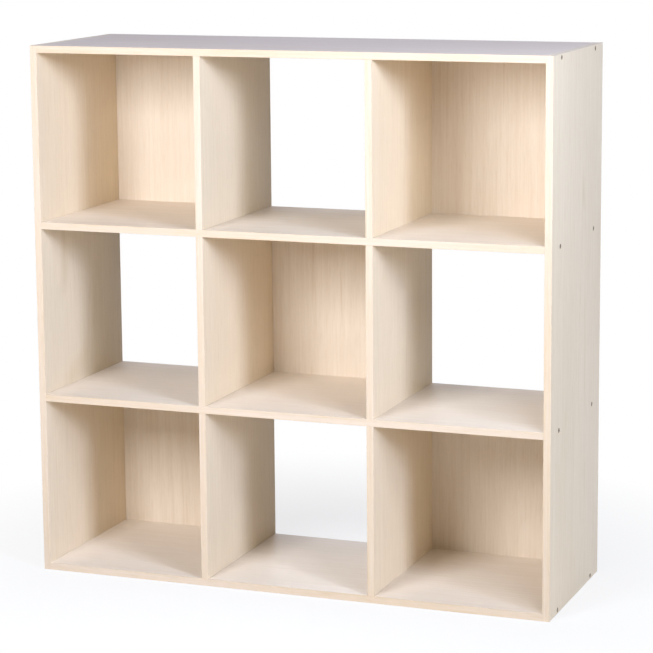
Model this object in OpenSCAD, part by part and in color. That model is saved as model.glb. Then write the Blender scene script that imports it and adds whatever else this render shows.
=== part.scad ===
// Cube storage unit: nine open-fronted cubes, three across and three high.
// Flat-pack boards. Two full-height sides clamp four level boards with screws
// driven through the sides. Six short dividers stand between the level boards
// on dowels. Five of the cubes, in a chequered pattern, are closed by thin back
// panels pinned to the rear edges of the boards around them.
// Z is up and the front faces -Y. The origin is on the floor, in the middle of
// the unit's width and depth.

/* [Unit] */
// Overall width
unit_w = 900; // [800:10:1100]
// Overall height
unit_h = 900; // [800:10:1100]
// Depth of the boards, front edging included
board_d = 300; // [240:5:400]

/* [Boards] */
// Thickness of every board
board_t = 12; // [11:0.5:19]
// Thickness of the edging glued to the front edges and the side tops
edging_t = 1; // [0.5:0.1:1.5]
// Radius on the two long corners of each edging strip
edging_r = 0.5; // [0.2:0.1:0.5]

/* [Back panels] */
// Thickness of a back panel
back_t = 3; // [2.5:0.5:6]
// Gap between neighbouring back panels where their corners meet
back_gap = 1; // [0.5:0.5:3]
// Radius of a back panel's corners
back_corner_r = 2; // [0.5:0.5:6]

/* [Side screws] */
// Distance of a screw from the front or rear edge of its board
screw_inset = 48; // [30:1:80]
// Length of a screw, head included
screw_l = 40; // [34:1:60]
// Diameter of the screw's shank over its thread
screw_d = 5; // [4:0.5:6]
// Diameter of the countersunk head
screw_head_d = 7.6; // [7:0.2:9]
// Width across the flats of the hexagon socket
screw_socket_w = 3; // [2.5:0.1:3.5]
// Depth of the hexagon socket
screw_socket_l = 2.6; // [1.5:0.1:4]
// Depth of the head's face below the side's outer face
screw_sink = 0.6; // [0.3:0.1:1.5]
// Length of the tapered point
screw_tip_l = 5; // [3:0.5:8]

/* [Dowels] */
// Diameter of a dowel
dowel_d = 6; // [5:0.5:8]
// Distance of a dowel from the front or rear edge of its board
dowel_inset = 60; // [40:1:90]
// Depth of a dowel in the end of a divider
dowel_grip = 16; // [10:1:30]
// Depth of a dowel in the top panel or the bottom panel
dowel_sink = 8; // [5:0.5:9]
// Chamfer on both ends of a dowel
dowel_chamfer = 0.8; // [0.3:0.1:1.5]
// Width of the glue flutes along a dowel
flute_w = 0.8; // [0.5:0.1:1.2]

/* [Panel pins] */
// Length of a pin under its head
pin_l = 18; // [12:1:25]
// Diameter of a pin's shank
pin_d = 1.4; // [1:0.1:1.8]
// Diameter of a pin's head
pin_head_d = 3.4; // [2.6:0.1:4]
// Thickness of a pin's head
pin_head_t = 0.6; // [0.4:0.1:1]
// Distance of the outer pins from the corner of the cube they close
pin_inset = 40; // [20:1:70]
// Pins along each edge of a back panel
pins_per_edge = 3; // [2:1:5]

/* [Clearances] */
// Gap around a screw in its bore
screw_clear = 0.15; // [0.05:0.05:0.25]
// Gap around a dowel in its bore
dowel_clear = 0.1; // [0.05:0.05:0.25]
// Gap around a pin in its hole
pin_clear = 0.1; // [0.05:0.05:0.2]
// Room left past the end of a screw, a dowel or a pin
end_clear = 0.5; // [0.2:0.1:2]

/* [Hidden] */

// Columns are counted from the left and rows from the floor up.
COLUMNS = 3;
ROWS = 3;
LEFT_COLUMN = 0;
MIDDLE_COLUMN = LEFT_COLUMN + 1;
RIGHT_COLUMN = COLUMNS - 1;
BOTTOM_ROW = 0;
MIDDLE_ROW = BOTTOM_ROW + 1;
TOP_ROW = ROWS - 1;
// Each level lies under the row of its own number, and the top over the last row.
BOTTOM = BOTTOM_ROW;
LOWER_SHELF = MIDDLE_ROW;
UPPER_SHELF = TOP_ROW;
TOP = ROWS;
// Each divider stands at the right of the column of its own number.
LEFT_DIVIDER = LEFT_COLUMN;
RIGHT_DIVIDER = MIDDLE_COLUMN;
LEFT = -1;
RIGHT = -LEFT;
// Cubes with a back panel, as [column, row]
CLOSED = [
    [LEFT_COLUMN, BOTTOM_ROW], [RIGHT_COLUMN, BOTTOM_ROW],
    [MIDDLE_COLUMN, MIDDLE_ROW],
    [LEFT_COLUMN, TOP_ROW], [RIGHT_COLUMN, TOP_ROW]
];

// Overall depth, from the front edging to the heads of the pins
unit_d = board_d + back_t + pin_head_t;
front_y = -unit_d / 2;
rear_y = front_y + board_d;
core_y = front_y + edging_t;

// Clear width and height of one cube
cube_w = (unit_w - (COLUMNS + 1) * board_t) / COLUMNS;
cube_h = (unit_h - (ROWS + 1) * board_t) / ROWS;
// Length of the level boards, between the sides
level_l = unit_w - 2 * board_t;

screw_bore_d = screw_d + 2 * screw_clear;
screw_head_bore_d = screw_head_d + 2 * screw_clear;
// A 45 degree cone brings the head down to the shank
screw_head_l = (screw_head_d - screw_d) / 2;
screw_tip_d = screw_d / 2;
// Depth of the screw's bore in the end of a level board
screw_bore_l = screw_sink + screw_l - board_t + end_clear;
screw_ys = [front_y + screw_inset, rear_y - screw_inset];

dowel_bore_d = dowel_d + 2 * dowel_clear;
dowel_ys = [front_y + dowel_inset, rear_y - dowel_inset];
end_dowel_l = dowel_sink + dowel_grip - 2 * end_clear;
shelf_dowel_l = board_t + 2 * dowel_grip - 2 * end_clear;
FLUTES = 8;

back_lap = (board_t - back_gap) / 2;
pin_hole_d = pin_d + 2 * pin_clear;
// Distance of the line of pins from the edge of the cube
pin_line = back_lap / 2;
pin_bore_l = pin_l - back_t + end_clear;
pin_tip_l = 2 * pin_d;

// Cuts run past the faces they open, so that no skin is left
OVERCUT = 1;

maple = [0.91, 0.84, 0.75];
maple_back = [0.86, 0.77, 0.66];
cream = [0.97, 0.92, 0.83];
beech = [0.80, 0.64, 0.44];
steel = [0.45, 0.44, 0.43];
zinc = [0.70, 0.70, 0.68];

$fn = 48;

// Left wall of column c; one column past the last it is beyond the right side
function cube_x(c) = -unit_w / 2 + board_t + c * (cube_w + board_t);
// Floor of row r
function cube_z(r) = board_t + r * (cube_h + board_t);
// Left face of a side
function side_x(side) = side < 0 ? -unit_w / 2 : unit_w / 2 - board_t;
// Underside of level board k
function level_z(k) = cube_z(k) - board_t;
// Left face of the divider to the right of column c
function divider_x(c) = cube_x(c + 1) - board_t;
// Centre of the pins along an edge of length len
function pin_places(len) = [
    for (i = [0 : pins_per_edge - 1])
        pin_inset + i * (len - 2 * pin_inset) / (pins_per_edge - 1)
];
// Centres of the pins around cube [c, r], as [x, z]
function pins_around(c, r) = concat(
    [for (s = pin_places(cube_w), z = [-pin_line, cube_h + pin_line])
        [cube_x(c) + s, cube_z(r) + z]],
    [for (s = pin_places(cube_h), x = [-pin_line, cube_w + pin_line])
        [cube_x(c) + x, cube_z(r) + s]]
);

// One edging strip of length len along +X, its glued face on y = 0, with the
// two long corners of its outer face rounded
module edging_strip(len) {
    corner = min(edging_r, edging_t, board_t / 2);
    rotate([90, 0, 90])
        linear_extrude(len)
            translate([-edging_t, 0])
                union() {
                    translate([corner, 0])
                        square([edging_t - corner, board_t]);
                    translate([0, corner])
                        square([edging_t, board_t - 2 * corner]);
                    for (z = [corner, board_t - corner])
                        translate([corner, z])
                            circle(corner);
                }
}

// Holes for every pin, from the rear edges of the boards forwards
module pin_bores() {
    for (cell = CLOSED, p = pins_around(cell[0], cell[1]))
        translate([p[0], rear_y + OVERCUT, p[1]])
            rotate([90, 0, 0])
                cylinder(d = pin_hole_d, h = pin_bore_l + OVERCUT);
}

// Stepped bores of one side's screws, from its outer face inwards
module screw_bores(side) {
    for (k = [BOTTOM : TOP], y = screw_ys)
        translate([side * unit_w / 2, y, level_z(k) + board_t / 2])
            rotate([0, -side * 90, 0]) {
                translate([0, 0, -OVERCUT])
                    cylinder(d = screw_head_bore_d, h = screw_sink + OVERCUT);
                translate([0, 0, screw_sink])
                    cylinder(d1 = screw_head_bore_d, d2 = screw_bore_d, h = screw_head_l);
                translate([0, 0, screw_sink])
                    cylinder(d = screw_bore_d, h = board_t + screw_bore_l - screw_sink);
            }
}

// Upright bores of the dowels at level board k, reaching down and up from its
// two faces by the depths given
module dowel_bores(k, down, up) {
    for (c = [LEFT_DIVIDER : RIGHT_DIVIDER], y = dowel_ys)
        translate([divider_x(c) + board_t / 2, y, level_z(k) - down])
            cylinder(d = dowel_bore_d, h = board_t + down + up);
}

// Full-height side, drilled for its screws and for the pins of the back panels
module side_panel(side) {
    color(maple)
        difference() {
            translate([side_x(side), core_y, 0])
                cube([board_t, board_d - edging_t, unit_h - edging_t]);
            screw_bores(side);
            pin_bores();
        }
}

// Bare level board k, from side to side
module level_core(k) {
    translate([-level_l / 2, core_y, level_z(k)])
        cube([level_l, board_d - edging_t, board_t]);
}

// Shelf with dowels right through it into the dividers above and below
module shelf(k) {
    color(maple)
        difference() {
            level_core(k);
            screw_bores(LEFT);
            screw_bores(RIGHT);
            dowel_bores(k, OVERCUT, OVERCUT);
            pin_bores();
        }
}

// Top panel, with blind dowel bores in its underside
module top_panel() {
    color(maple)
        difference() {
            level_core(TOP);
            screw_bores(LEFT);
            screw_bores(RIGHT);
            dowel_bores(TOP, OVERCUT, dowel_sink - board_t);
            pin_bores();
        }
}

// Bottom panel, with blind dowel bores in its upper face
module bottom_panel() {
    color(maple)
        difference() {
            level_core(BOTTOM);
            screw_bores(LEFT);
            screw_bores(RIGHT);
            dowel_bores(BOTTOM, dowel_sink - board_t, OVERCUT);
            pin_bores();
        }
}

// Divider to the right of column c in row r, drilled in both ends
module divider(c, r) {
    color(maple)
        difference() {
            translate([divider_x(c), core_y, cube_z(r)])
                cube([board_t, board_d - edging_t, cube_h]);
            dowel_bores(r, OVERCUT, dowel_grip);
            dowel_bores(r + 1, dowel_grip, OVERCUT);
            pin_bores();
        }
}

// Back panel of cube [c, r]: it laps the rear edges of the four boards around
module back_panel(c, r) {
    w = cube_w + 2 * back_lap;
    h = cube_h + 2 * back_lap;
    color(maple_back)
        difference() {
            translate([cube_x(c) - back_lap, rear_y + back_t, cube_z(r) - back_lap])
                rotate([90, 0, 0])
                    linear_extrude(back_t)
                        union() {
                            translate([back_corner_r, 0])
                                square([w - 2 * back_corner_r, h]);
                            translate([0, back_corner_r])
                                square([w, h - 2 * back_corner_r]);
                            for (x = [back_corner_r, w - back_corner_r],
                                 z = [back_corner_r, h - back_corner_r])
                                translate([x, z])
                                    circle(back_corner_r);
                        }
            for (p = pins_around(c, r))
                translate([p[0], rear_y + back_t + OVERCUT, p[1]])
                    rotate([90, 0, 0])
                        cylinder(d = pin_hole_d, h = back_t + 2 * OVERCUT);
        }
}

// Edging on the front edge of a side, over its full height
module side_front_edging(side) {
    color(cream)
        translate([side_x(side) + board_t, core_y, 0])
            rotate([0, -90, 0])
                edging_strip(unit_h);
}

// Edging on the top end of a side, behind the front edging
module side_top_edging(side) {
    color(cream)
        translate([side_x(side) + board_t, core_y, unit_h - edging_t])
            rotate([0, 0, 90])
                rotate([-90, 0, 0])
                    edging_strip(board_d - edging_t);
}

// Edging on the front edge of level board k
module level_edging(k) {
    color(cream)
        translate([-level_l / 2, core_y, level_z(k)])
            edging_strip(level_l);
}

// Edging on the front edge of a divider
module divider_edging(c, r) {
    color(cream)
        translate([divider_x(c) + board_t, core_y, cube_z(r)])
            rotate([0, -90, 0])
                edging_strip(cube_h);
}

// One countersunk screw with its head's face on z = 0, pointing along +Z
module screw() {
    socket_d = screw_socket_w / cos(30);
    difference() {
        rotate_extrude()
            polygon([
                [0, 0],
                [screw_head_d / 2, 0],
                [screw_d / 2, screw_head_l],
                [screw_d / 2, screw_l - screw_tip_l],
                [screw_tip_d / 2, screw_l],
                [0, screw_l]
            ]);
        translate([0, 0, -OVERCUT])
            cylinder(d = socket_d, h = screw_socket_l + OVERCUT, $fn = 6);
    }
}

// Two screws into the end of each level board, from one side
module side_screws(side) {
    color(steel)
        for (k = [BOTTOM : TOP], y = screw_ys)
            translate([side * (unit_w / 2 - screw_sink), y, level_z(k) + board_t / 2])
                rotate([0, -side * 90, 0])
                    screw();
}

// One fluted dowel of length len with chamfered ends, standing on z = 0
module dowel(len) {
    r = dowel_d / 2;
    difference() {
        rotate_extrude()
            polygon([
                [0, 0],
                [r - dowel_chamfer, 0],
                [r, dowel_chamfer],
                [r, len - dowel_chamfer],
                [r - dowel_chamfer, len],
                [0, len]
            ]);
        for (i = [0 : FLUTES - 1])
            rotate([0, 0, i * 360 / FLUTES])
                translate([r, 0, -OVERCUT])
                    cylinder(d = flute_w, h = len + 2 * OVERCUT, $fn = 16);
    }
}

// Dowels between the dividers and the top and bottom panels
module end_dowels() {
    color(beech)
        for (c = [LEFT_DIVIDER : RIGHT_DIVIDER], y = dowel_ys,
             z = [cube_z(BOTTOM_ROW) - dowel_sink, level_z(TOP) - dowel_grip])
            translate([divider_x(c) + board_t / 2, y, z + end_clear])
                dowel(end_dowel_l);
}

// Dowels through the shelves, each joining a divider below to one above
module shelf_dowels() {
    color(beech)
        for (k = [LOWER_SHELF, UPPER_SHELF], c = [LEFT_DIVIDER : RIGHT_DIVIDER], y = dowel_ys)
            translate([divider_x(c) + board_t / 2, y, level_z(k) - dowel_grip + end_clear])
                dowel(shelf_dowel_l);
}

// One flat-headed panel pin with the underside of its head on z = 0,
// pointing along +Z
module pin() {
    rotate_extrude($fn = 24)
        polygon([
            [0, -pin_head_t],
            [pin_head_d / 2, -pin_head_t],
            [pin_head_d / 2, 0],
            [pin_d / 2, 0],
            [pin_d / 2, pin_l - pin_tip_l],
            [0, pin_l]
        ]);
}

// Pins around every back panel, their heads on its rear face
module back_panel_pins() {
    color(zinc)
        for (cell = CLOSED, p = pins_around(cell[0], cell[1]))
            translate([p[0], rear_y + back_t, p[1]])
                rotate([90, 0, 0])
                    pin();
}

side_panel(LEFT);  // left_side_panel
side_panel(RIGHT);  // right_side_panel
top_panel();
shelf(UPPER_SHELF);  // upper_shelf
shelf(LOWER_SHELF);  // lower_shelf
bottom_panel();
divider(LEFT_DIVIDER, TOP_ROW);  // divider_top_left
divider(RIGHT_DIVIDER, TOP_ROW);  // divider_top_right
divider(LEFT_DIVIDER, MIDDLE_ROW);  // divider_middle_left
divider(RIGHT_DIVIDER, MIDDLE_ROW);  // divider_middle_right
divider(LEFT_DIVIDER, BOTTOM_ROW);  // divider_bottom_left
divider(RIGHT_DIVIDER, BOTTOM_ROW);  // divider_bottom_right
back_panel(LEFT_COLUMN, TOP_ROW);  // back_panel_top_left
back_panel(RIGHT_COLUMN, TOP_ROW);  // back_panel_top_right
back_panel(MIDDLE_COLUMN, MIDDLE_ROW);  // back_panel_centre
back_panel(LEFT_COLUMN, BOTTOM_ROW);  // back_panel_bottom_left
back_panel(RIGHT_COLUMN, BOTTOM_ROW);  // back_panel_bottom_right
side_front_edging(LEFT);  // left_side_front_edging
side_front_edging(RIGHT);  // right_side_front_edging
side_top_edging(LEFT);  // left_side_top_edging
side_top_edging(RIGHT);  // right_side_top_edging
level_edging(TOP);  // top_panel_edging
level_edging(UPPER_SHELF);  // upper_shelf_edging
level_edging(LOWER_SHELF);  // lower_shelf_edging
level_edging(BOTTOM);  // bottom_panel_edging
divider_edging(LEFT_DIVIDER, TOP_ROW);  // divider_top_left_edging
divider_edging(RIGHT_DIVIDER, TOP_ROW);  // divider_top_right_edging
divider_edging(LEFT_DIVIDER, MIDDLE_ROW);  // divider_middle_left_edging
divider_edging(RIGHT_DIVIDER, MIDDLE_ROW);  // divider_middle_right_edging
divider_edging(LEFT_DIVIDER, BOTTOM_ROW);  // divider_bottom_left_edging
divider_edging(RIGHT_DIVIDER, BOTTOM_ROW);  // divider_bottom_right_edging
side_screws(LEFT);  // left_side_screws
side_screws(RIGHT);  // right_side_screws
end_dowels();
shelf_dowels();
back_panel_pins();
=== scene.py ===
"""Cube storage unit: nine open-fronted cubes in maple-look laminated board.

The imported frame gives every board, edging strip, back panel and fastener its
place. The script stands modelled pieces with softened arrises, countersunk
screw mouths and hollow sockets in for the ones that show, gives each piece its
finish, and sets up a plain studio with a camera. Lengths are in metres.
"""
import logging
import math
from dataclasses import dataclass, field, replace
from enum import Enum
from typing import Iterable, Sequence

import bmesh
import bpy
from mathutils import Matrix, Vector


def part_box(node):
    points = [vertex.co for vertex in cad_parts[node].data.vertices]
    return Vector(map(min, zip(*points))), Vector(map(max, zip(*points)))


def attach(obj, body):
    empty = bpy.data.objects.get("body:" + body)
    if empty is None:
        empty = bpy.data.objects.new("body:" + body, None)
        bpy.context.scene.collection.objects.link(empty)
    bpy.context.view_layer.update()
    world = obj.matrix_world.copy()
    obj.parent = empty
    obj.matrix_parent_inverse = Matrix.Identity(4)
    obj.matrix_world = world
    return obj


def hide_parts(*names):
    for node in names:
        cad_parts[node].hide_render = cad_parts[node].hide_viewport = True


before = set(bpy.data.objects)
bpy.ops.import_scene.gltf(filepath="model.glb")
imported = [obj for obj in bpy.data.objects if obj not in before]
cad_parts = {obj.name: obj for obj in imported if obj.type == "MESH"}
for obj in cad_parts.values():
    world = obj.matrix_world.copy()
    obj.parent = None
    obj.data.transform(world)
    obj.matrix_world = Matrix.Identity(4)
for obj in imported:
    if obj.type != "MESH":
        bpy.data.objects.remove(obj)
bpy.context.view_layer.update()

BODY = "root"
LOG = logging.getLogger("cube_unit")

MM = 0.001
MERGE_WITHIN = 0.001 * MM  # points closer than this become one
TOUCH_WITHIN = 0.01 * MM  # points closer than this lie in one plane
SAME_WAY = 0.9  # least cosine between two directions that count as one
SQUARE_ON = 0.1  # largest cosine between two directions that count as square
ARRIS_STEPS = 2  # segments across a softened arris

CUT = 1  # material index of the faces that show what a piece is made of
# The only upper face with a finish of its own is the top panel's, whose darker, cooler copy
# of the maple is painted shade.
UPPER_PAINTED_SHADE = 2  # material index of an upper face with a finish of its own

Colour = tuple[float, float, float, float]
Span = tuple[float, float]

WHITE: Colour = (1.0, 1.0, 1.0, 1.0)


def paint(red: int, green: int, blue: int) -> Colour:
    """Turns a display colour into the linear one that a shader takes.

    Args:
        red: Red from 0 to 255.
        green: Green from 0 to 255.
        blue: Blue from 0 to 255.

    Returns:
        The linear colour, with an alpha of 1.
    """

    def linear(level: int) -> float:
        """Undoes the display curve for one channel."""
        value = level / 255
        return value / 12.92 if value <= 0.04045 else ((value + 0.055) / 1.055) ** 2.4

    return linear(red), linear(green), linear(blue), 1.0


class Run(Enum):
    """Which way the grain runs on a piece, as the turn that lays it along Z."""

    UPRIGHT = (0.0, 0.0, 0.0)
    ACROSS = (0.0, math.pi / 2, 0.0)
    INWARDS = (math.pi / 2, 0.0, 0.0)


class Face(Enum):
    """The outward direction of a piece's face."""

    FRONT = (0, -1, 0)
    REAR = (0, 1, 0)
    UNDERSIDE = (0, 0, -1)
    TOP = (0, 0, 1)


class Side(Enum):
    """One of the unit's two side panels, as its nodes' names begin."""

    LEFT = "left"
    RIGHT = "right"


# --------------------------------------------------------------------------
# Shader building
# --------------------------------------------------------------------------


@dataclass(frozen=True)
class Pattern:
    """A noise pattern that may be drawn out along Z.

    Attributes:
        scale: Cells for each metre.
        along: How much Z is multiplied by first, so less than 1 draws it out.
        detail: Octaves of finer noise.
        distortion: How far the pattern is warped.
    """

    scale: float
    along: float = 1.0
    detail: float = 2.0
    distortion: float = 0.0


class Wiring:
    """Adds nodes to a node tree, sets their constants and links them."""

    def __init__(self, tree: bpy.types.NodeTree) -> None:
        """Starts on an emptied tree."""
        self.tree = tree
        tree.nodes.clear()

    def node(self, kind: str, **settings: object) -> bpy.types.Node:
        """Adds a node.

        Args:
            kind: The node's Blender type, without its ShaderNode prefix.
            **settings: Attributes of the node, such as operation.

        Returns:
            The new node.
        """
        prefix = "" if kind.startswith("NodeGroup") else "ShaderNode"
        made = self.tree.nodes.new(prefix + kind)
        for name, value in settings.items():
            setattr(made, name, value)
        return made

    def feed(self, socket: bpy.types.NodeSocket, value: object) -> None:
        """Gives a socket its value.

        Args:
            socket: The input to set.
            value: A constant, or the output of another node to link to it.
        """
        if isinstance(value, bpy.types.NodeSocket):
            self.tree.links.new(value, socket)
        else:
            socket.default_value = value

    def math(self, operation: str, *values: object) -> bpy.types.NodeSocket:
        """Adds a Math node, clamped only where its operation says.

        Args:
            operation: The Math node's operation.
            *values: Its inputs, numbers or sockets.

        Returns:
            The node's output.
        """
        made = self.node("Math", operation=operation)
        for socket, value in zip(made.inputs, values):
            self.feed(socket, value)
        return made.outputs[0]

    def swing(self, value: object, weight: object, share: object) -> bpy.types.NodeSocket:
        """Adds to a share how far a value swings from a half, times a weight."""
        return self.math("MULTIPLY_ADD", self.math("SUBTRACT", value, 0.5), weight, share)

    def rescale(
        self, value: object, span: Span, onto: Span = (0.0, 1.0)
    ) -> bpy.types.NodeSocket:
        """Maps a value from one range onto another, clamped at both ends.

        Args:
            value: The value to map.
            span: The range it comes from.
            onto: What the ends of that range become.

        Returns:
            The mapped value's socket.
        """
        made = self.node("MapRange")
        for name, level in (
            ("Value", value), ("From Min", span[0]), ("From Max", span[1]),
            ("To Min", onto[0]), ("To Max", onto[1]),
        ):
            self.feed(made.inputs[name], level)
        return made.outputs["Result"]

    def mix(
        self, share: object, first: object, second: object, clamped: bool = True
    ) -> bpy.types.NodeSocket:
        """Mixes two colours.

        Args:
            share: How much of the second colour there is.
            first: The colour at a share of 0.
            second: The colour at a share of 1.
            clamped: Whether a share past 0 or 1 is held there.

        Returns:
            The mixed colour's socket.
        """
        made = self.node("Mix", data_type="RGBA", clamp_factor=clamped)
        for socket, value in (("Factor", share), (6, first), (7, second)):
            self.feed(made.inputs[socket], value)
        return made.outputs[2]

    def blend(
        self, share: object, first: bpy.types.NodeSocket, second: bpy.types.NodeSocket
    ) -> bpy.types.NodeSocket:
        """Mixes two shaders.

        Args:
            share: How much of the second shader there is.
            first: The shader at a share of 0.
            second: The shader at a share of 1.

        Returns:
            The mixed shader's socket.
        """
        made = self.node("MixShader")
        for socket, value in enumerate((share, first, second)):
            self.feed(made.inputs[socket], value)
        return made.outputs[0]

    def noise(self, place: bpy.types.NodeSocket, pattern: Pattern) -> bpy.types.NodeSocket:
        """Adds a noise pattern.

        Args:
            place: The coordinates to read.
            pattern: The pattern's scale, stretch and detail.

        Returns:
            The noise value, from 0 to 1.
        """
        mapped = self.node("Mapping")
        self.feed(mapped.inputs["Vector"], place)
        self.feed(mapped.inputs["Scale"], (1.0, 1.0, pattern.along))
        made = self.node("TexNoise")
        for name, value in (
            ("Vector", mapped.outputs["Vector"]), ("Scale", pattern.scale),
            ("Detail", pattern.detail), ("Distortion", pattern.distortion),
        ):
            self.feed(made.inputs[name], value)
        return made.outputs["Fac"]


def new_group(name: str, inputs: dict[str, str], outputs: dict[str, str]) -> Wiring:
    """Starts a shader node group with named sockets.

    Args:
        name: The group's name.
        inputs: Socket names and their types, such as Float, Vector or Color.
        outputs: The same for what the group puts out.

    Returns:
        The wiring of the new group, emptied.
    """
    group = bpy.data.node_groups.new(name, "ShaderNodeTree")
    for side, sockets in (("INPUT", inputs), ("OUTPUT", outputs)):
        for socket, kind in sockets.items():
            group.interface.new_socket(socket, in_out=side, socket_type="NodeSocket" + kind)
    return Wiring(group)


@dataclass(frozen=True)
class GrainRecipe:
    """What the printed grain is made up of, all of it running along Z.

    Attributes:
        tone: Broad changes of tone.
        streaks: Long fine streaks.
        fibres: The finest lines.
        dashes: Short dark pores.
        hills: The slow swell whose contours are the flame figure.
        patches: Where the flame figure comes and goes.
        bends: The slow swell whose middle contour is a single dark vein.
        spells: Where a vein comes and goes.
        rings: How closely the contours of the flame figure lie.
        middle: Share of the deep colour where nothing else acts.
        tone_weight: How much the tone adds to that share.
        fibre_weight: How much the fibres add to it.
        figure_weight: How much the flame figure adds to it.
        patch_span: Levels between which the flame figure comes in.
        dash_span: Levels between which a dash comes in.
        vein_span: Distances from that contour between which a vein fades out.
        spell_span: Levels between which a vein comes in along its length.
        held: The least and the most of the share.
        roughness: Roughness of the pale and of the deep colour.
    """

    tone: Pattern = Pattern(3.2, 0.35, 2.0, 0.6)
    streaks: Pattern = Pattern(205.0, 0.018, 3.0, 0.2)
    fibres: Pattern = Pattern(430.0, 0.06, 3.0)
    dashes: Pattern = Pattern(330.0, 0.1, 2.0)
    hills: Pattern = Pattern(5.5, 0.05, 1.0, 0.3)
    patches: Pattern = Pattern(2.6, 0.5, 1.0)
    bends: Pattern = Pattern(7.0, 0.025, 0.0)
    spells: Pattern = Pattern(9.0, 0.8, 0.0)
    rings: float = 110.0
    middle: float = 0.42
    tone_weight: float = 0.9
    fibre_weight: float = 0.7
    figure_weight: float = 0.5
    patch_span: Span = (0.42, 0.62)
    dash_span: Span = (0.55, 0.72)
    vein_span: Span = (0.0015, 0.006)
    spell_span: Span = (0.55, 0.68)
    held: Span = (-0.5, 2.5)
    roughness: Span = (0.50, 0.62)

    def figure(self, wiring: Wiring, place: bpy.types.NodeSocket) -> bpy.types.NodeSocket:
        """Draws the flame figure: rings round the hills, in patches.

        Args:
            wiring: The group's wiring.
            place: The coordinates to read.

        Returns:
            The figure's socket, from below 0 to above it.
        """
        hills = wiring.noise(place, self.hills)
        rings = wiring.math("SINE", wiring.math("MULTIPLY", hills, self.rings))
        patch = wiring.rescale(wiring.noise(place, self.patches), self.patch_span)
        return wiring.math(
            "MULTIPLY", wiring.math("MULTIPLY", rings, self.figure_weight), patch)

    def vein(self, wiring: Wiring, place: bpy.types.NodeSocket) -> bpy.types.NodeSocket:
        """Draws the single dark veins, each of them broken off in places.

        Args:
            wiring: The group's wiring.
            place: The coordinates to read.

        Returns:
            The veins' mask.
        """
        slope = wiring.math("SUBTRACT", wiring.noise(place, self.bends), 0.5)
        line = wiring.rescale(wiring.math("ABSOLUTE", slope), self.vein_span, (1.0, 0.0))
        spell = wiring.rescale(wiring.noise(place, self.spells), self.spell_span)
        return wiring.math("MULTIPLY", line, spell)

    def build(self) -> bpy.types.NodeTree:
        """Makes the group of tone, streaks, figure, fibres, dashes and veins.

        Returns:
            The group, with outputs Color, Roughness and Height.
        """
        wiring = new_group(
            "printed_grain",
            {"Vector": "Vector", "Pale": "Color", "Deep": "Color", "Streaks": "Float",
             "Figure": "Float", "Dashes": "Float", "Veins": "Float"},
            {"Color": "Color", "Roughness": "Float", "Height": "Float"},
        )
        given = wiring.node("NodeGroupInput").outputs
        place = given["Vector"]
        fibre = wiring.noise(place, self.fibres)
        dark = wiring.rescale(wiring.noise(place, self.dashes), self.dash_span)

        share = wiring.swing(wiring.noise(place, self.tone), self.tone_weight, self.middle)
        share = wiring.swing(wiring.noise(place, self.streaks), given["Streaks"], share)
        share = wiring.math(
            "MULTIPLY_ADD", self.figure(wiring, place), given["Figure"], share)
        share = wiring.swing(fibre, self.fibre_weight, share)
        share = wiring.math("MULTIPLY_ADD", dark, given["Dashes"], share)
        share = wiring.math("MULTIPLY_ADD", self.vein(wiring, place), given["Veins"], share)
        share = wiring.rescale(share, self.held, self.held)

        result = wiring.node("NodeGroupOutput").inputs
        wiring.feed(
            result["Color"], wiring.mix(share, given["Pale"], given["Deep"], clamped=False))
        wiring.feed(
            result["Roughness"], wiring.rescale(share, (0.0, 1.0), self.roughness))
        wiring.feed(
            result["Height"],
            wiring.math("SUBTRACT", 1.0, wiring.math("ADD", dark, fibre)))
        return wiring.tree


@dataclass(frozen=True)
class ChipRecipe:
    """What cut particle board is made up of: wood chips with dark gaps.

    Attributes:
        dust: The fine wood dust over the chips.
        chip_weight: How much a chip's own tone adds to the share of the deep colour.
        dust_weight: How much the dust adds to it.
        gap_weight: How much a gap adds to it.
        gap_span: Distances from a chip's middle between which the gap comes in.
        share_span: What the sum of the three is, from all pale to all deep.
        dust_span: The dust's levels that the roughness follows.
        roughness: Least and greatest roughness.
    """

    dust: Pattern = Pattern(900.0)
    chip_weight: float = 0.55
    dust_weight: float = 0.3
    gap_weight: float = 0.35
    gap_span: Span = (0.35, 0.75)
    share_span: Span = (0.1, 1.1)
    dust_span: Span = (0.2, 0.8)
    roughness: Span = (0.82, 0.95)

    def build(self) -> bpy.types.NodeTree:
        """Makes the group.

        Returns:
            The group, with outputs Color, Roughness and Height.
        """
        wiring = new_group(
            "pressed_chips",
            {"Vector": "Vector", "Pale": "Color", "Deep": "Color", "Size": "Float"},
            {"Color": "Color", "Roughness": "Float", "Height": "Float"},
        )
        given = wiring.node("NodeGroupInput").outputs
        cells = wiring.node("TexVoronoi")
        wiring.feed(cells.inputs["Vector"], given["Vector"])
        wiring.feed(cells.inputs["Scale"], given["Size"])
        chip = wiring.node("SeparateColor")
        wiring.feed(chip.inputs["Color"], cells.outputs["Color"])
        gap = wiring.rescale(cells.outputs["Distance"], self.gap_span)
        dust = wiring.noise(given["Vector"], self.dust)
        share = wiring.math("MULTIPLY", dust, self.dust_weight)
        share = wiring.math("MULTIPLY_ADD", chip.outputs["Red"], self.chip_weight, share)
        share = wiring.math("MULTIPLY_ADD", gap, self.gap_weight, share)
        share = wiring.rescale(share, self.share_span)

        result = wiring.node("NodeGroupOutput").inputs
        wiring.feed(result["Color"], wiring.mix(share, given["Pale"], given["Deep"]))
        wiring.feed(
            result["Roughness"], wiring.rescale(dust, self.dust_span, self.roughness))
        wiring.feed(result["Height"], wiring.math("SUBTRACT", 1.0, gap))
        return wiring.tree


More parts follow.
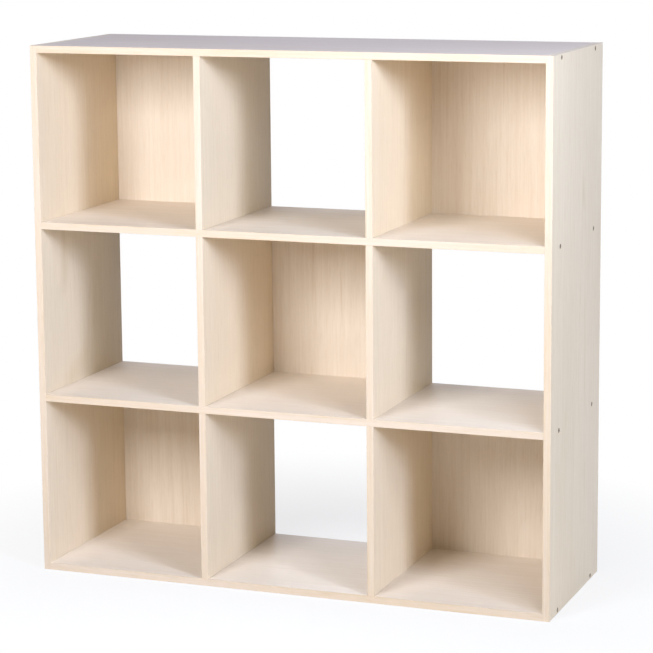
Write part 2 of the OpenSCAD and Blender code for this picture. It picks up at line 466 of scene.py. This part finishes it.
@dataclass(frozen=True)
class HandlingRecipe:
    """Faint smudges and settled dust: a change of roughness and a thin veil.

    Attributes:
        blotches: The smudges.
        specks: The dust.
        facing_span: How far a face looks up, between no veil and the full one.
        speck_span: The specks' levels that the veil follows.
        veil: The veil between specks and on them.
    """

    blotches: Pattern = Pattern(7.0, 1.0, 3.0, 0.8)
    specks: Pattern = Pattern(260.0)
    facing_span: Span = (0.3, 1.0)
    speck_span: Span = (0.35, 0.75)
    veil: Span = (0.3, 1.0)

    def build(self) -> bpy.types.NodeTree:
        """Makes the group.

        Returns:
            The group, with outputs Smudge, a change of roughness about 0, and
            Veil, a mask that is strongest on faces that look up.
        """
        wiring = new_group(
            "handling", {"Vector": "Vector", "Amount": "Float"},
            {"Smudge": "Float", "Veil": "Float"},
        )
        given = wiring.node("NodeGroupInput").outputs
        blotch = wiring.noise(given["Vector"], self.blotches)
        speck = wiring.noise(given["Vector"], self.specks)
        up = wiring.node("SeparateXYZ")
        wiring.feed(up.inputs[0], wiring.node("NewGeometry").outputs["Normal"])
        facing = wiring.rescale(up.outputs["Z"], self.facing_span)
        veil = wiring.math(
            "MULTIPLY", facing, wiring.rescale(speck, self.speck_span, self.veil))

        result = wiring.node("NodeGroupOutput").inputs
        wiring.feed(
            result["Smudge"],
            wiring.math("MULTIPLY", wiring.math("SUBTRACT", blotch, 0.5), given["Amount"]))
        wiring.feed(result["Veil"], wiring.math("MULTIPLY", veil, given["Amount"]))
        return wiring.tree


class Effect(Enum):
    """The effects that finishes share, each as what it is made up of."""

    GRAIN = GrainRecipe()
    CHIPS = ChipRecipe()
    HANDLING = HandlingRecipe()


class EffectGroups:
    """The node groups of the shared effects, each built on first use."""

    _made: dict[Effect, bpy.types.NodeTree] = {}

    @classmethod
    def place(cls, wiring: Wiring, effect: Effect, **values: object) -> bpy.types.Node:
        """Puts an effect into a material.

        Args:
            wiring: The material's wiring.
            effect: Which effect.
            **values: The group's inputs, constants or sockets.

        Returns:
            The group node.
        """
        if effect not in cls._made:
            cls._made[effect] = effect.value.build()
        made = wiring.node("Group", node_tree=cls._made[effect])
        for name, value in values.items():
            wiring.feed(made.inputs[name], value)
        return made


# --------------------------------------------------------------------------
# Finishes
# --------------------------------------------------------------------------


@dataclass(frozen=True)
class Finish:
    """What every finish has.

    Attributes:
        name: The material's name.
        pale: The lighter of its two colours.
        deep: The darker one.
        specular: Its specular level.
        bump: Strength of its relief.
        relief: Height of its relief.
    """

    name: str
    pale: Colour
    deep: Colour
    specular: float = 0.3
    bump: float = 0.2
    relief: float = 0.15 * MM

    def start(self) -> tuple[bpy.types.Material, Wiring, bpy.types.Node]:
        """Makes the material with a bare shader on its output.

        Returns:
            The material, its wiring and the shader node.
        """
        material = bpy.data.materials.new(self.name)
        material.use_nodes = True
        wiring = Wiring(material.node_tree)
        shader = wiring.node("BsdfPrincipled")
        wiring.feed(shader.inputs["Specular IOR Level"], self.specular)
        wiring.feed(wiring.node("OutputMaterial").inputs["Surface"], shader.outputs["BSDF"])
        return material, wiring, shader

    def turned(self, wiring: Wiring, run: Run) -> bpy.types.NodeSocket:
        """Turns Object coordinates so that the grain runs along Z.

        Args:
            wiring: The material's wiring.
            run: Which way the grain runs on the piece.

        Returns:
            The turned coordinates' socket.
        """
        mapping = wiring.node("Mapping")
        wiring.feed(mapping.inputs["Vector"], wiring.node("TexCoord").outputs["Object"])
        wiring.feed(mapping.inputs["Rotation"], run.value)
        return mapping.outputs["Vector"]

    def raise_bump(
        self, wiring: Wiring, shader: bpy.types.Node, height: bpy.types.NodeSocket
    ) -> None:
        """Feeds a height into the shader's normal at this finish's relief.

        Args:
            wiring: The material's wiring.
            shader: The shader node.
            height: The height, from 0 to 1.
        """
        bump = wiring.node("Bump")
        wiring.feed(bump.inputs["Strength"], self.bump)
        wiring.feed(bump.inputs["Distance"], self.relief)
        wiring.feed(bump.inputs["Height"], height)
        wiring.feed(shader.inputs["Normal"], bump.outputs["Normal"])

    def material(self) -> bpy.types.Material:
        """Builds the material, which each kind of finish does in its own way."""
        raise NotImplementedError


@dataclass(frozen=True)
class GrainFinish(Finish):
    """Wood grain, printed or real, laid along one axis of the unit.

    Attributes:
        run: Which way the grain runs.
        streaks: How strong the streaks are.
        figure: How strong the flame figure is.
        dashes: How dark the pores are.
        veins: How dark the single veins are.
        handling: How strong the smudges and the dust are.
        veil: Colour of the dust.
    """

    run: Run = Run.UPRIGHT
    streaks: float = 0.9
    figure: float = 0.12
    dashes: float = 0.2
    veins: float = 0.0
    handling: float = 0.08
    veil: Colour = paint(226, 222, 220)

    def material(self) -> bpy.types.Material:
        """Builds the material.

        Returns:
            The material.
        """
        material, wiring, shader = self.start()
        place = self.turned(wiring, self.run)
        grain = EffectGroups.place(
            wiring, Effect.GRAIN, Vector=place, Pale=self.pale, Deep=self.deep,
            Streaks=self.streaks, Figure=self.figure, Dashes=self.dashes,
            Veins=self.veins)
        touch = EffectGroups.place(
            wiring, Effect.HANDLING, Vector=place, Amount=self.handling)
        wiring.feed(
            shader.inputs["Base Color"],
            wiring.mix(touch.outputs["Veil"], grain.outputs["Color"], self.veil))
        wiring.feed(
            shader.inputs["Roughness"],
            wiring.math("ADD", grain.outputs["Roughness"], touch.outputs["Smudge"]))
        self.raise_bump(wiring, shader, grain.outputs["Height"])
        return material


@dataclass(frozen=True)
class ChipFinish(Finish):
    """The raw cut edge of a particle board or the fibres of a hardboard.

    Attributes:
        size: Chips for each metre.
    """

    size: float = 430.0

    def material(self) -> bpy.types.Material:
        """Builds the material.

        Returns:
            The material.
        """
        material, wiring, shader = self.start()
        chips = EffectGroups.place(
            wiring, Effect.CHIPS, Vector=self.turned(wiring, Run.UPRIGHT),
            Pale=self.pale, Deep=self.deep, Size=self.size)
        wiring.feed(shader.inputs["Base Color"], chips.outputs["Color"])
        wiring.feed(shader.inputs["Roughness"], chips.outputs["Roughness"])
        self.raise_bump(wiring, shader, chips.outputs["Height"])
        return material


@dataclass(frozen=True)
class PlatedFinish(Finish):
    """Plated steel with fine drawing lines and dull spots.

    Attributes:
        mottle: The dull spots.
        lines: The drawing lines.
        spot_span: The mottle's levels between the pale and the deep colour.
        worn_span: The mottle's levels that the roughness follows.
        roughness: Least and greatest roughness.
        handling: How strong the smudges are.
    """

    mottle: Pattern = Pattern(700.0, 1.0, 3.0)
    lines: Pattern = Pattern(6000.0, 0.1, 1.0)
    spot_span: Span = (0.35, 0.7)
    worn_span: Span = (0.3, 0.7)
    roughness: Span = (0.28, 0.46)
    handling: float = 0.1

    def material(self) -> bpy.types.Material:
        """Builds the material.

        Returns:
            The material.
        """
        material, wiring, shader = self.start()
        place = self.turned(wiring, Run.UPRIGHT)
        mottle = wiring.noise(place, self.mottle)
        touch = EffectGroups.place(
            wiring, Effect.HANDLING, Vector=place, Amount=self.handling)
        wiring.feed(
            shader.inputs["Base Color"],
            wiring.mix(wiring.rescale(mottle, self.spot_span), self.pale, self.deep))
        wiring.feed(shader.inputs["Metallic"], 1.0)
        rough = wiring.rescale(mottle, self.worn_span, self.roughness)
        wiring.feed(
            shader.inputs["Roughness"], wiring.math("ADD", rough, touch.outputs["Smudge"]))
        self.raise_bump(wiring, shader, wiring.noise(place, self.lines))
        return material


class Finishes:
    """The unit's finishes, each made into a material once."""

    upright = GrainFinish(
        "maple_upright", paint(242, 226, 200), paint(229, 210, 180), specular=0.25,
        streaks=0.8, figure=0.15, dashes=0.3, veins=0.6)
    # The level boards take a paler, cooler copy of the upright maple, though all the boards
    # are one laminate: painted cool light that falls on them from the front and above.
    level = GrainFinish(
        "maple_level_painted_cool_light", paint(244, 232, 216), paint(233, 218, 198), run=Run.ACROSS)
    # The top panel's upper face takes a darker, cooler copy of the level maple, though it is
    # the same board: painted cool shade on the top.
    top = GrainFinish(
        "maple_top_painted_cool_shade", paint(240, 229, 215), paint(229, 215, 199), run=Run.ACROSS,
        specular=0.05)
    back = GrainFinish(
        "maple_back", paint(246, 232, 212), paint(231, 212, 186), streaks=1.0,
        figure=0.35, dashes=0.25, veins=0.5)
    # The strips on the front edges are written darker than the boards and than the strips on
    # the tops of the sides, though all are one pale edging: painted shade that tones down the
    # strong light on the front faces.
    edging_upright_painted_shade = GrainFinish(
        "edging_upright_painted_shade", paint(226, 207, 185), paint(217, 192, 157),
        streaks=1.4, figure=0.0, handling=0.03)
    edging_across_painted_shade = replace(edging_upright_painted_shade, name="edging_across_painted_shade", run=Run.ACROSS)
    edging_inwards = GrainFinish(
        "edging_inwards", paint(235, 222, 202), paint(228, 211, 185), run=Run.INWARDS,
        streaks=0.6, figure=0.0, handling=0.03)
    core = ChipFinish(
        "particle_board", paint(214, 186, 148), paint(138, 106, 72), specular=0.15,
        bump=0.5, relief=0.4 * MM)
    fibre = ChipFinish(
        "hardboard", paint(166, 124, 86), paint(128, 92, 60), specular=0.2,
        bump=0.25, relief=0.1 * MM, size=1500.0)
    beech = GrainFinish(
        "beech", paint(222, 190, 148), paint(190, 150, 106), specular=0.2,
        streaks=0.8, figure=0.1, dashes=0.9)
    screw = PlatedFinish("screw_steel", paint(150, 144, 136), paint(92, 86, 80))
    pin = PlatedFinish("pin_zinc", paint(205, 205, 202), paint(160, 160, 156))

    _made: dict[str, bpy.types.Material] = {}

    @classmethod
    def material(cls, finish: Finish) -> bpy.types.Material:
        """Gives a finish's material, built on first use.

        Args:
            finish: The finish.

        Returns:
            Its material.
        """
        if finish.name not in cls._made:
            cls._made[finish.name] = finish.material()
        return cls._made[finish.name]


# --------------------------------------------------------------------------
# Modelling
# --------------------------------------------------------------------------


def block(low: Vector, high: Vector) -> bmesh.types.BMesh:
    """Makes a closed block.

    Args:
        low: Its corner with the least x, y and z.
        high: The opposite corner.

    Returns:
        The block's mesh.
    """
    mesh = bmesh.new()
    bmesh.ops.create_cube(mesh, size=1.0)
    bmesh.ops.scale(mesh, vec=high - low, verts=mesh.verts)
    bmesh.ops.translate(mesh, vec=(low + high) / 2, verts=mesh.verts)
    return mesh


def soften(
    mesh: bmesh.types.BMesh, edges: Iterable[bmesh.types.BMEdge],
    offset: float, segments: int,
) -> None:
    """Rounds some edges of a mesh with an arc.

    Args:
        mesh: The mesh.
        edges: The edges to round.
        offset: Distance from the edge at which the arc starts.
        segments: Faces across the arc.
    """
    bmesh.ops.bevel(
        mesh, geom=list(edges), offset=offset, offset_type="OFFSET", segments=segments,
        profile=0.5, affect="EDGES", material=-1, clamp_overlap=True)


def look(mesh: bmesh.types.BMesh, faces: Iterable[Face], index: int) -> None:
    """Gives a material index to the faces of a mesh that look some ways.

    Args:
        mesh: The mesh.
        faces: The ways.
        index: The material index.
    """
    ways = [Vector(face.value) for face in faces]
    for part in mesh.faces:
        if any(part.normal.dot(way) > SAME_WAY for way in ways):
            part.material_index = index


def direction(edge: bmesh.types.BMEdge) -> Vector:
    """Gives the direction of an edge, with a length of 1."""
    return (edge.verts[0].co - edge.verts[1].co).normalized()


def stand(
    name: str, mesh: bmesh.types.BMesh, finishes: Sequence[Finish],
    nodes: Sequence[str],
) -> bpy.types.Object:
    """Makes a mesh into a finished piece that stands in for CAD nodes.

    Args:
        name: The piece's name.
        mesh: Its mesh, in the unit's frame. It is freed.
        finishes: The finishes of its material indices, in order.
        nodes: The CAD nodes that it replaces.

    Returns:
        The piece, riding on the unit's body.
    """
    bmesh.ops.recalc_face_normals(mesh, faces=mesh.faces)
    data = bpy.data.meshes.new(name)
    mesh.to_mesh(data)
    mesh.free()
    for finish in finishes:
        data.materials.append(Finishes.material(finish))
    piece = bpy.data.objects.new(name, data)
    bpy.context.scene.collection.objects.link(piece)
    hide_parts(*nodes)
    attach(piece, BODY)
    LOG.info("%s: %d faces for %s", name, len(data.polygons), ", ".join(nodes))
    return piece


def dress(node: str, finish: Finish) -> None:
    """Gives a CAD node that stays its material.

    Args:
        node: The node's name.
        finish: Its finish.
    """
    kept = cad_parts[node]
    for socket in kept.material_slots:
        socket.link = "OBJECT"
        socket.material = Finishes.material(finish)
    LOG.info("%s: kept, in %s", node, finish.name)


def carve(piece: bpy.types.Object, cutter: bmesh.types.BMesh) -> None:
    """Cuts a closed mesh out of a piece and keeps the result as its mesh.

    Args:
        piece: The piece to cut.
        cutter: The mesh to take away, its faces marked with the piece's
            material index for the cut. It is freed.
    """
    bmesh.ops.recalc_face_normals(cutter, faces=cutter.faces)
    data = bpy.data.meshes.new(piece.name + "_cutter")
    cutter.to_mesh(data)
    cutter.free()
    for material in piece.data.materials:
        data.materials.append(material)
    tool = bpy.data.objects.new(data.name, data)
    bpy.context.scene.collection.objects.link(tool)
    modifier = piece.modifiers.new("carve", "BOOLEAN")
    modifier.operation = "DIFFERENCE"
    modifier.solver = "EXACT"
    modifier.object = tool
    graph = bpy.context.evaluated_depsgraph_get()
    cut = bpy.data.meshes.new_from_object(piece.evaluated_get(graph))
    piece.modifiers.clear()
    old = piece.data
    piece.data = cut
    bpy.data.meshes.remove(old)
    bpy.data.objects.remove(tool)
    bpy.data.meshes.remove(data)
    cut.name = piece.name


def revolve(
    mesh: bmesh.types.BMesh, profile: Sequence[tuple[float, float]], steps: int
) -> list[bmesh.types.BMVert]:
    """Spins a profile of (radius, height) points about Z.

    Args:
        mesh: The mesh to add to.
        profile: The outline, from one end of the axis or rim to the other.
        steps: How many steps make the full turn.

    Returns:
        The new vertices, merged where the turn closes and on the axis.
    """
    before = set(mesh.verts)
    points = [mesh.verts.new((radius, 0.0, height)) for radius, height in profile]
    edges = [mesh.edges.new(pair) for pair in zip(points, points[1:])]
    bmesh.ops.spin(
        mesh, geom=points + edges, cent=(0, 0, 0), axis=(0, 0, 1), dvec=(0, 0, 0),
        angle=math.tau, steps=steps, use_merge=True, use_duplicate=False)
    made = [vert for vert in mesh.verts if vert not in before]
    bmesh.ops.remove_doubles(mesh, verts=made, dist=MERGE_WITHIN)
    return [vert for vert in mesh.verts if vert not in before]


# --------------------------------------------------------------------------
# Sub-assemblies
# --------------------------------------------------------------------------


@dataclass
class ScrewSet:
    """The countersunk screws that hold the level boards, on both sides.

    Attributes:
        head: Radius of the head.
        shank: Radius of the shank.
        length: Length, head included.
        point: Length of the tapered point.
        socket: Radius of the hexagon socket, across its corners.
        corners: Number of the socket's corners.
        depth: Depth of the socket.
        chamfer: Chamfer of the head's rim, and length of the point's cut tip.
        rim: Depth below the head's face at which the countersink starts.
        sink: Depth of the head's face below the side's outer face.
        clearance: Room around the screw in its bore.
        over: How far the bore's cutter stands out of the side.
        steps: Facets round a screw.
        levels: The boards that the screws hold, from the bottom up.
    """

    head: float = 3.8 * MM
    shank: float = 2.5 * MM
    length: float = 40 * MM
    point: float = 5 * MM
    socket: float = 1.73 * MM
    corners: int = 6
    depth: float = 2.6 * MM
    chamfer: float = 0.25 * MM
    rim: float = 0.4 * MM
    sink: float = 0.6 * MM
    clearance: float = 0.15 * MM
    over: float = 1 * MM
    steps: int = 36
    levels: tuple[str, ...] = ("bottom_panel", "lower_shelf", "upper_shelf", "top_panel")

    def places(self, side: Side) -> list[tuple[float, float]]:
        """Finds the centres of one side's screws from the frame.

        Args:
            side: The side.

        Returns:
            The centres, as (y, z).
        """
        low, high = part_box(f"{side.value}_side_screws")
        rows = (low.y + self.head, high.y - self.head)
        heights = [sum(corner.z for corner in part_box(level)) / 2 for level in self.levels]
        return [(y, z) for z in heights for y in rows]

    def drive(self, side: Side, depth: float) -> list[Matrix]:
        """Finds the places that turn a shape's +Z into a side.

        Args:
            side: The side.
            depth: How far the shape's base lies below the side's outer face.

        Returns:
            One matrix for each screw.
        """
        low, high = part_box(f"{side.value}_side_panel")
        outer, way = (low.x + depth, 1) if side is Side.LEFT else (high.x - depth, -1)
        turn = Matrix.Rotation(way * math.pi / 2, 4, "Y")
        return [Matrix.Translation((outer, y, z)) @ turn for y, z in self.places(side)]

    def mouth(self, side: Side) -> bmesh.types.BMesh:
        """Makes the stepped space of one side's screws, to cut from the side.

        Args:
            side: The side.

        Returns:
            The space, marked with the material index of the core.
        """
        mesh = bmesh.new()
        head, shank = self.head + self.clearance, self.shank + self.clearance
        floor = self.sink + self.over
        profile = [
            (0, 0), (head, 0), (head, floor), (shank, floor + head - shank),
            (shank, floor + self.length), (0, floor + self.length)]
        for place in self.drive(side, -self.over):
            made = revolve(mesh, profile, self.steps)
            bmesh.ops.transform(mesh, matrix=place, verts=made)
        for face in mesh.faces:
            face.material_index = CUT
        return mesh

    def add_screw(self, mesh: bmesh.types.BMesh, place: Matrix) -> None:
        """Adds one screw: spun body, hexagon socket and the ring between.

        Args:
            mesh: The mesh to add to.
            place: Where the screw lies, its head's face at the base.
        """
        before = set(mesh.verts)
        revolve(mesh, [
            (self.head - self.chamfer, 0), (self.head, self.chamfer), (self.head, self.rim),
            (self.shank, self.head - self.shank), (self.shank, self.length - self.point),
            (self.shank / 2, self.length - self.chamfer), (0, self.length)], self.steps)
        rim = [
            side for side in mesh.edges
            if side.is_boundary and not before.intersection(side.verts)]
        corners = bmesh.ops.create_circle(
            mesh, cap_ends=False, segments=self.corners, radius=self.socket)["verts"]
        hexagon = list({side for vert in corners for side in vert.link_edges})
        bmesh.ops.bridge_loops(mesh, edges=rim + hexagon)
        walls = bmesh.ops.extrude_edge_only(mesh, edges=hexagon)["geom"]
        floor = [part for part in walls if isinstance(part, bmesh.types.BMVert)]
        bmesh.ops.translate(mesh, vec=(0, 0, self.depth), verts=floor)
        bmesh.ops.edgeloop_fill(mesh, edges=[
            part for part in walls
            if isinstance(part, bmesh.types.BMEdge) and part.is_boundary])
        made = [vert for vert in mesh.verts if vert not in before]
        bmesh.ops.transform(mesh, matrix=place, verts=made)

    def build(self) -> None:
        """Makes the screws of both sides."""
        for side in Side:
            mesh = bmesh.new()
            for place in self.drive(side, self.sink):
                self.add_screw(mesh, place)
            stand(
                f"{side.value}_screws", mesh, [Finishes.screw],
                [f"{side.value}_side_screws"])


@dataclass
class Boards:
    """Laminated boards, their cut edges bare where no strip covers them.

    Attributes:
        arris: Radius of the softened corners of a board.
    """

    arris: float = 0.35 * MM

    def board(
        self, node: str, slot: str, finish: Finish, raw: Sequence[Face],
        upper: Finish | None = None,
    ) -> bpy.types.Object:
        """Makes one board.

        Args:
            node: The CAD node it replaces.
            slot: Its material slot in the record; not used.
            finish: The finish of its laminated faces.
            raw: The faces that show the core.
            upper: The finish of its upper face, where that differs; on the top panel a
                darker, cooler copy of the maple that paints cool shade.

        Returns:
            The board.
        """
        mesh = block(*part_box(node))
        look(mesh, raw, CUT)
        finishes = [finish, Finishes.core]
        if upper:
            look(mesh, [Face.TOP], UPPER_PAINTED_SHADE)
            finishes.append(upper)
        soften(mesh, mesh.edges, self.arris, ARRIS_STEPS)
        return stand(f"{node}_board", mesh, finishes, [node])


@dataclass
class Carcass(Boards):
    """The two sides and the four level boards.

    Attributes:
        screws: The screws, for the mouths of their bores.
    """

    screws: ScrewSet = field(default_factory=ScrewSet)

    def build(self) -> None:
        """Makes the sides and the level boards."""
        for side in Side:
            made = self.board(
                f"{side.value}_side_panel", "side_board", Finishes.upright,
                [Face.REAR, Face.UNDERSIDE])
            carve(made, self.screws.mouth(side))
        # The top panel's upper face takes the top finish, a copy of the maple with painted
        # cool shade.
        self.board("top_panel", "top_board", Finishes.level, [Face.REAR], Finishes.top)
        for node in ("upper_shelf", "lower_shelf", "bottom_panel"):
            self.board(node, "level_board", Finishes.level, [Face.REAR])


@dataclass
class Dividers(Boards):
    """The six short uprights, one cube high.

    Attributes:
        nodes: The CAD nodes of the dividers.
    """

    nodes: tuple[str, ...] = tuple(
        f"divider_{row}_{side.value}" for row in ("top", "middle", "bottom") for side in Side)

    def build(self) -> None:
        """Makes the dividers."""
        for node in self.nodes:
            self.board(node, "divider_board", Finishes.upright, [Face.REAR])


@dataclass
class BackPanels:
    """The five thin back panels, foiled in front and bare hardboard behind.

    Attributes:
        corner: Radius of a panel's corners, seen from behind.
        corner_steps: Segments round such a corner.
        arris: Radius of its cut edges.
        places: Where the panels are.
    """

    corner: float = 2 * MM
    corner_steps: int = 6
    arris: float = 0.3 * MM
    places: tuple[str, ...] = (
        "top_left", "top_right", "centre", "bottom_left", "bottom_right")

    def build(self) -> None:
        """Makes the back panels and dresses the pins that hold them."""
        for place in self.places:
            node = f"back_panel_{place}"
            mesh = block(*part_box(node))
            inwards = [edge for edge in mesh.edges if abs(direction(edge).y) > SAME_WAY]
            soften(mesh, inwards, self.corner, self.corner_steps)
            rims = [edge for edge in mesh.edges if abs(direction(edge).y) < SQUARE_ON]
            soften(mesh, rims, self.arris, ARRIS_STEPS)
            for face in mesh.faces:
                face.material_index = 0 if face.normal.y < -SAME_WAY else CUT
            stand(
                f"{node}_sheet", mesh, [Finishes.back, Finishes.fibre], [node])
        dress("back_panel_pins", Finishes.pin)


@dataclass
class Edging:
    """The glued strips on the front edges and on the tops of the sides.

    Attributes:
        radius: Radius of the two long outer corners of a strip.
        radius_steps: Segments round such a corner.
    """

    radius: float = 0.5 * MM
    radius_steps: int = 4

    def strip(self, node: str, outer: Face, finish: Finish) -> None:
        """Makes one strip.

        Args:
            node: The CAD node it replaces.
            outer: The way its outer face looks.
            finish: Its finish.
        """
        low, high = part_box(node)
        mesh = block(low, high)
        way = Vector(outer.value)
        span = high - low
        axis = max(range(3), key=lambda index: span[index])
        reach = max(vert.co.dot(way) for vert in mesh.verts)
        long_outer = [
            edge for edge in mesh.edges
            if abs((edge.verts[0].co - edge.verts[1].co)[axis]) > span[axis] / 2
            and all(abs(vert.co.dot(way) - reach) < TOUCH_WITHIN for vert in edge.verts)]
        soften(mesh, long_outer, self.radius, self.radius_steps)
        stand(f"{node}_strip", mesh, [finish], [node])

    def build(self) -> None:
        """Makes every strip, its grain along its length."""
        for side in Side:
            panel = f"{side.value}_side"
            self.strip(f"{panel}_front_edging", Face.FRONT, Finishes.edging_upright_painted_shade)
            self.strip(f"{panel}_top_edging", Face.TOP, Finishes.edging_inwards)
        for level in ScrewSet.levels:
            self.strip(f"{level}_edging", Face.FRONT, Finishes.edging_across_painted_shade)
        for node in Dividers.nodes:
            self.strip(f"{node}_edging", Face.FRONT, Finishes.edging_upright_painted_shade)


@dataclass
class Dowels:
    """The dowels inside the joints of the dividers.

    Attributes:
        nodes: The CAD nodes of the dowels.
    """

    nodes: tuple[str, ...] = ("end_dowels", "shelf_dowels")

    def build(self) -> None:
        """Dresses the dowels, whose CAD shape is right as it is."""
        for node in self.nodes:
            dress(node, Finishes.beech)


# --------------------------------------------------------------------------
# Studio
# --------------------------------------------------------------------------


@dataclass
class Softbox:
    """One large soft lamp.

    Attributes:
        name: The lamp's name.
        place: Where it stands.
        aim: What it points at.
        size: Its width and height.
        power: Its power in watts.
        tint: Its colour.
    """

    name: str
    place: tuple[float, float, float]
    aim: tuple[float, float, float]
    size: tuple[float, float]
    power: float
    tint: tuple[float, float, float]

    def build(self) -> None:
        """Hangs the lamp."""
        lamp = bpy.data.lights.new(self.name, "AREA")
        lamp.shape = "RECTANGLE"
        lamp.size, lamp.size_y = self.size
        lamp.energy = self.power
        lamp.color = self.tint
        holder = bpy.data.objects.new(self.name, lamp)
        holder.location = self.place
        sight = Vector(self.aim) - Vector(self.place)
        holder.rotation_euler = sight.to_track_quat("-Z", "Y").to_euler()
        holder.visible_camera = False
        bpy.context.scene.collection.objects.link(holder)


@dataclass
class Studio:
    """A pale floor, soft lamps, a faint sky and the camera.

    Attributes:
        floor_size: Width of the floor.
        paper: Colour of the floor, as it lights the unit.
        shown: Colour of the floor where its own shading is seen.
        white: Brightness of floor and sky where they are seen directly.
        shade: Share of the floor's own shading that the camera sees near the unit.
        shaded: Distances between which that share fades to nothing.
        azimuth: Camera's turn to the right round the unit, in degrees.
        elevation: Camera's height angle, in degrees.
        roll: Camera's roll, in degrees.
        distance: Distance from the camera to its aim.
        aim: The point the camera looks at.
        lens: Focal length in millimetres.
        shift: Upward shift of the view, as a share of its width.
        ambient: Colour of the sky's even light.
        lamps: The lamps.
    """

    floor_size: float = 80.0
    paper: Colour = (0.80, 0.77, 0.72, 1.0)
    shown: Colour = (0.95, 0.95, 0.95, 1.0)
    white: float = 1.0
    shade: float = 0.25
    shaded: Span = (0.35, 0.85)
    azimuth: float = 21.03
    elevation: float = 9.53
    roll: float = -0.48
    distance: float = 4.0387
    aim: tuple[float, float, float] = (0.0146, 0.0056, 0.5099)
    lens: float = 132.5
    shift: float = -0.0766
    ambient: Colour = (0.015, 0.014, 0.012, 1.0)
    lamps: tuple[Softbox, ...] = (
        Softbox("key", (-0.42, -1.88, 1.3), (0.0, 0.0, 0.5), (0.7, 0.7), 37.5,
                (0.87, 0.90, 1.0)),
        Softbox("fill", (0.9, -0.8, 1.2), (0.0, 0.0, 0.5), (0.4, 0.4), 7.5,
                (0.76, 0.85, 1.0)),
        Softbox("side", (5.6, -3.3, 2.2), (0.2, 0.0, 0.45), (1.2, 1.2), 250.0,
                (0.665, 0.755, 1.0)),
        Softbox("card", (2.2, -0.1, 0.15), (0.45, 0.0, 0.12), (0.9, 0.3), 3.0,
                (0.90, 0.93, 1.0)),
        Softbox("above", (0.0, 0.3, 3.4), (0.0, 0.1, 0.9), (1.0, 0.8), 22.5,
                (0.67, 0.69, 1.0)),
        Softbox("rear", (-1.3, 4.4, 0.35), (0.0, 0.0, 0.45), (1.2, 0.6), 50.0,
                (0.82, 0.88, 1.0)),
        Softbox("left", (-4.2, 0.3, 0.6), (0.0, 0.0, 0.45), (1.2, 1.2), 55.0,
                (0.82, 0.88, 1.0)),
    )

    def seen_directly(self, wiring: Wiring) -> bpy.types.NodeSocket:
        """Picks out the rays that show the background: camera, gloss and glass.

        Args:
            wiring: The wiring of the floor's material or of the sky.

        Returns:
            The mask's socket.
        """
        path = wiring.node("LightPath").outputs
        gloss = wiring.math("MAXIMUM", path["Is Glossy Ray"], path["Is Transmission Ray"])
        return wiring.math("MAXIMUM", path["Is Camera Ray"], gloss)

    def floor_material(self) -> bpy.types.Material:
        """Makes the floor white to the eye and less bright to the unit.

        Returns:
            The material.
        """
        material = bpy.data.materials.new("floor_paper")
        material.use_nodes = True
        wiring = Wiring(material.node_tree)
        paper = wiring.node("BsdfDiffuse")
        wiring.feed(paper.inputs["Color"], self.paper)
        shown = wiring.node("BsdfDiffuse")
        wiring.feed(shown.inputs["Color"], self.shown)
        glow = wiring.node("Emission")
        wiring.feed(glow.inputs["Strength"], self.white)
        reach = wiring.node("VectorMath", operation="LENGTH")
        wiring.feed(reach.inputs[0], wiring.node("TexCoord").outputs["Object"])
        shade = wiring.rescale(reach.outputs["Value"], self.shaded, (self.shade, 0.0))
        eye = wiring.blend(shade, glow.outputs[0], shown.outputs[0])
        seen = wiring.blend(self.seen_directly(wiring), paper.outputs[0], eye)
        wiring.feed(wiring.node("OutputMaterial").inputs["Surface"], seen)
        return material

    def floor(self) -> None:
        """Lays the floor."""
        mesh = bmesh.new()
        bmesh.ops.create_grid(mesh, x_segments=1, y_segments=1, size=self.floor_size / 2)
        data = bpy.data.meshes.new("floor")
        mesh.to_mesh(data)
        mesh.free()
        data.materials.append(self.floor_material())
        floor = bpy.data.objects.new("floor", data)
        bpy.context.scene.collection.objects.link(floor)

    def sky(self) -> None:
        """Sets the sky: white where seen, faint where it lights."""
        world = bpy.data.worlds.new("studio")
        world.use_nodes = True
        bpy.context.scene.world = world
        wiring = Wiring(world.node_tree)
        light = wiring.node("Background")
        wiring.feed(light.inputs["Color"], self.ambient)
        seen = wiring.node("Background")
        wiring.feed(seen.inputs["Color"], WHITE)
        wiring.feed(seen.inputs["Strength"], self.white)
        mixed = wiring.blend(
            self.seen_directly(wiring), light.outputs[0], seen.outputs[0])
        wiring.feed(wiring.node("OutputWorld").inputs["Surface"], mixed)

    def camera(self) -> None:
        """Stands the camera at its angle and makes it the scene's camera."""
        turn, lift = math.radians(self.azimuth), math.radians(self.elevation)
        back = Vector((
            math.sin(turn) * math.cos(lift), -math.cos(turn) * math.cos(lift),
            math.sin(lift)))
        lens = bpy.data.cameras.new("camera")
        lens.lens = self.lens
        lens.shift_y = self.shift
        holder = bpy.data.objects.new("camera", lens)
        holder.rotation_mode = "QUATERNION"
        level = (-back).to_track_quat("-Z", "Y")
        tilt = Matrix.Rotation(math.radians(self.roll), 4, back).to_quaternion()
        holder.rotation_quaternion = tilt @ level
        holder.location = Vector(self.aim) + back * self.distance
        bpy.context.scene.collection.objects.link(holder)
        bpy.context.scene.camera = holder

    def build(self) -> None:
        """Sets up the whole studio."""
        bpy.context.scene.view_settings.view_transform = "Standard"
        self.floor()
        self.sky()
        for lamp in self.lamps:
            lamp.build()
        self.camera()
        LOG.info("studio: %d lamps, camera at %.0f degrees", len(self.lamps), self.azimuth)


def main() -> None:
    """Builds the unit and its studio in order, reporting each piece."""
    logging.basicConfig(level=logging.INFO, format="%(name)s %(message)s")
    screws = ScrewSet()
    for assembly in (
        Carcass(screws=screws), Dividers(), BackPanels(), Edging(), screws, Dowels(),
        Studio(),
    ):
        assembly.build()


if __name__ == "__main__":
    main()
